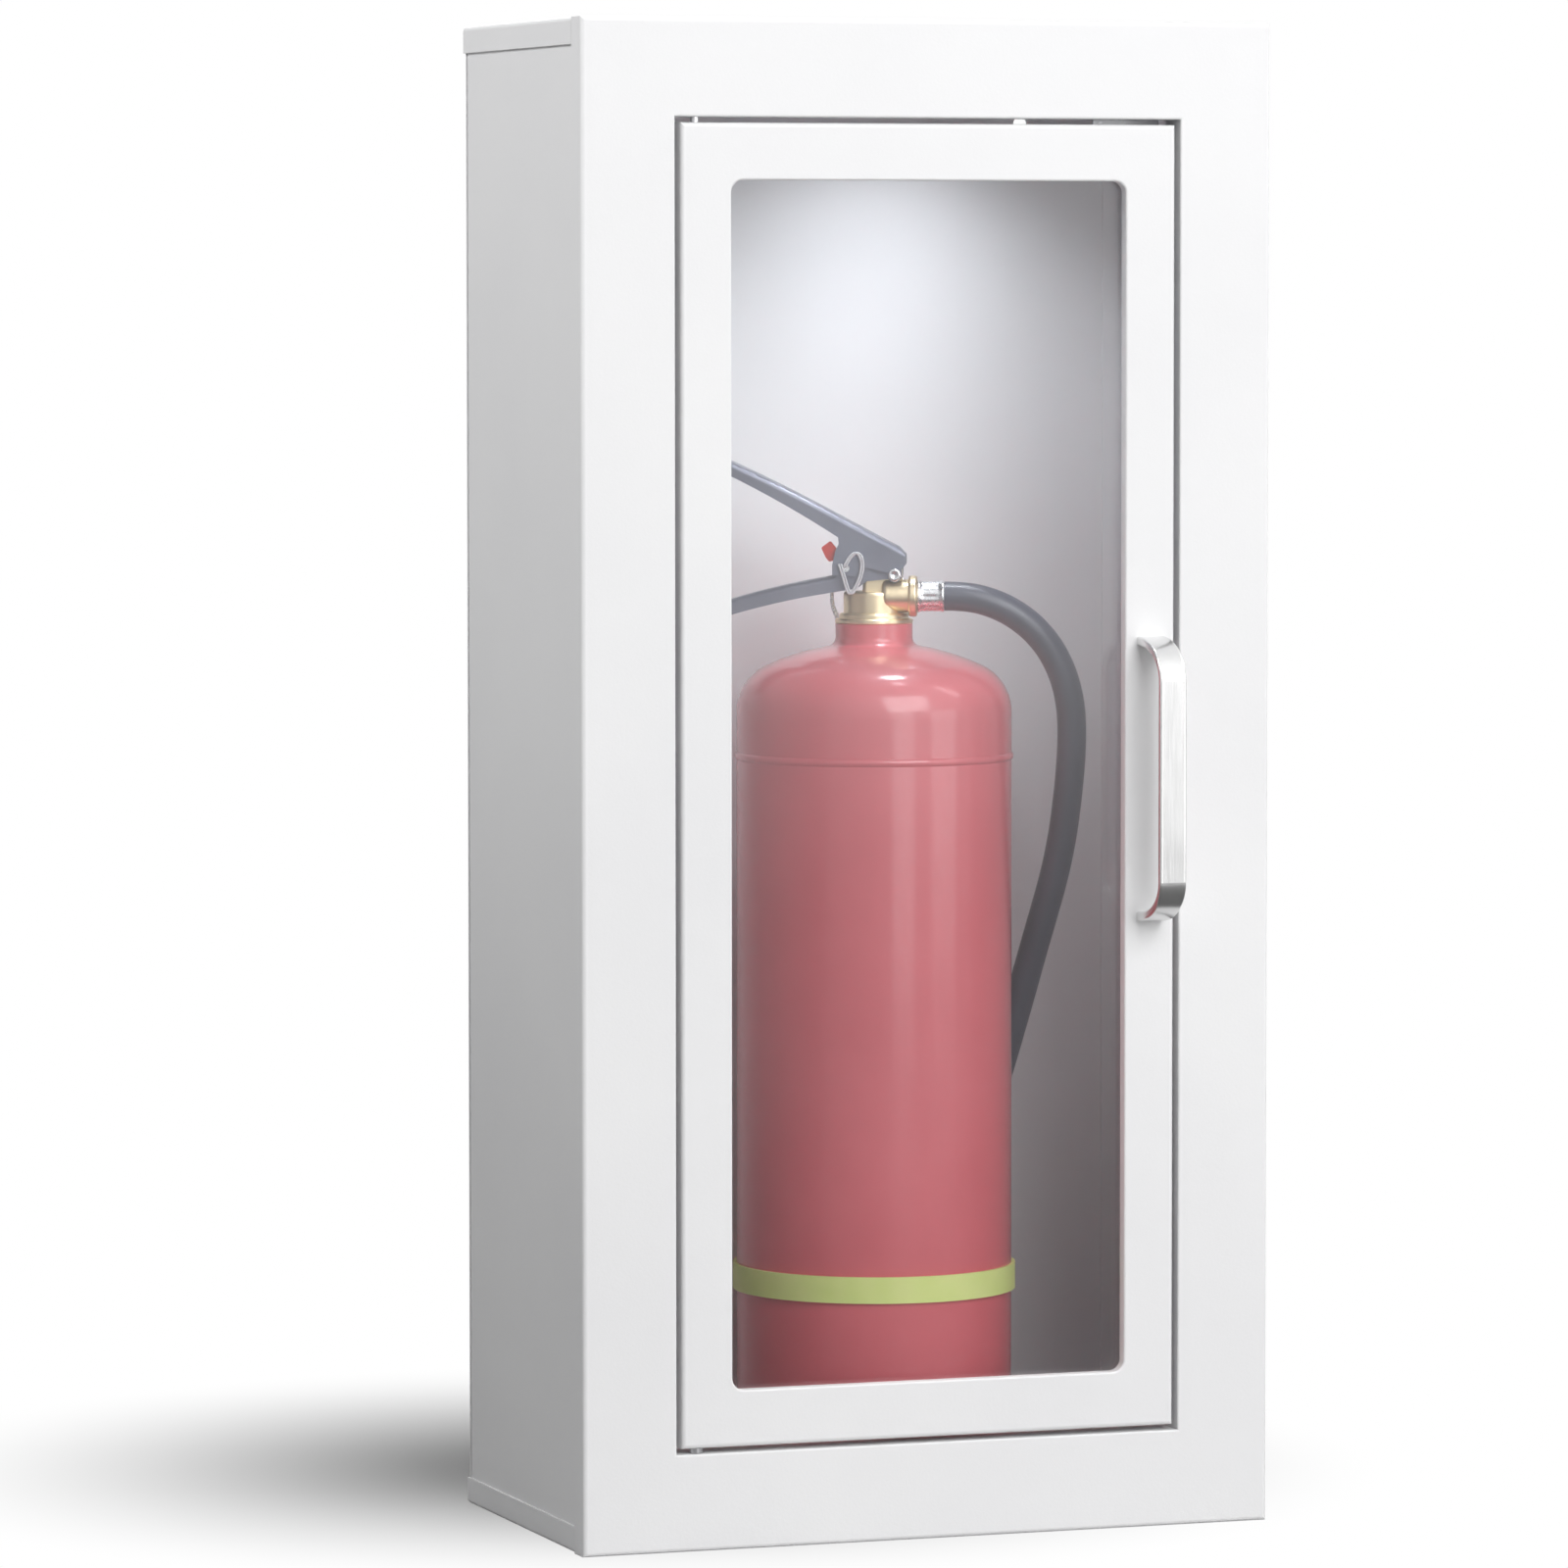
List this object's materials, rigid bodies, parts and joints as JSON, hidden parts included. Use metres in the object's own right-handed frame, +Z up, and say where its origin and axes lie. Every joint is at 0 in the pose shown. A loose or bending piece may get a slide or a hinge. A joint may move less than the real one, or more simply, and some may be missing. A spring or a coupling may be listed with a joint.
{
  "type": "fire extinguisher cabinet",
  "caption": "White steel wall cabinet with a flush glazed door on pivot pins, a D pull and a red extinguisher standing inside.",
  "frame": {"origin": "on the wall plane, at the bottom edge and the middle of the width", "axes": "+X to the right seen from the room, +Y into the wall, +Z up"},
  "size_m": [0.33, 0.204, 0.686],
  "materials": {
    "cabinet_paint": "white powder coat, satin",
    "bright_steel": "zinc-plated steel",
    "catch_plastic": "moulded plastic with steel pole plates",
    "clear_pane": "clear acrylic sheet",
    "glazing_strip": "mill finish",
    "handle_nickel": "satin nickel plate",
    "red_paint": "gloss red enamel",
    "valve_brass": "plain turned and forged brass",
    "ferrule_steel": "bright zinc plate",
    "lever_steel": "grey plated pressed steel",
    "seal_cord": "clear plastic cord",
    "seal_plastic": "red plastic",
    "hose_rubber": "smooth grey-black rubber",
    "nozzle_plastic": "black moulded plastic",
    "strap_rubber": "yellow-green elastic band"
  },
  "bodies": {
    "cabinet": {"back_panel": "cabinet_paint", "left_side_panel": "cabinet_paint", "right_side_panel": "cabinet_paint", "top_panel": "cabinet_paint", "bottom_panel": "cabinet_paint", "face_frame": "cabinet_paint", "hinge_bracket_top": "cabinet_paint", "hinge_bracket_bottom": "cabinet_paint", "catch_bracket": "bright_steel", "door_catch": "catch_plastic", "extinguisher_cylinder": "red_paint", "extinguisher_foot_ring": "red_paint", "neck_collar": "valve_brass", "valve_body": "valve_brass", "valve_stem": "bright_steel", "outlet_ring": "valve_brass", "hose_ferrule": "ferrule_steel", "carry_handle": "lever_steel", "squeeze_lever": "lever_steel", "lever_rivet": "valve_brass", "safety_pin": "ferrule_steel", "pull_ring": "ferrule_steel", "seal_tag": "seal_plastic", "seal_wire": "seal_cord", "discharge_hose": "hose_rubber", "discharge_nozzle": "nozzle_plastic", "hose_strap": "strap_rubber"},
    "door": {"door_pan": "cabinet_paint", "door_glazing": "clear_pane", "glazing_retainer_left": "glazing_strip", "glazing_retainer_right": "glazing_strip", "glazing_retainer_top": "glazing_strip", "glazing_retainer_bottom": "glazing_strip", "hinge_pin_top": "bright_steel", "hinge_pin_bottom": "bright_steel", "pull_handle": "handle_nickel", "pull_handle_screws": "bright_steel", "catch_strike": "bright_steel"}
  },
  "joints": [
    {"name": "door_hinge", "type": "hinge", "parent": "cabinet", "child": "door", "pos_m": [-0.1105, -0.1708, 0.343], "axis": [0, 0, -1], "range_deg": [0, 110]}
  ]
}
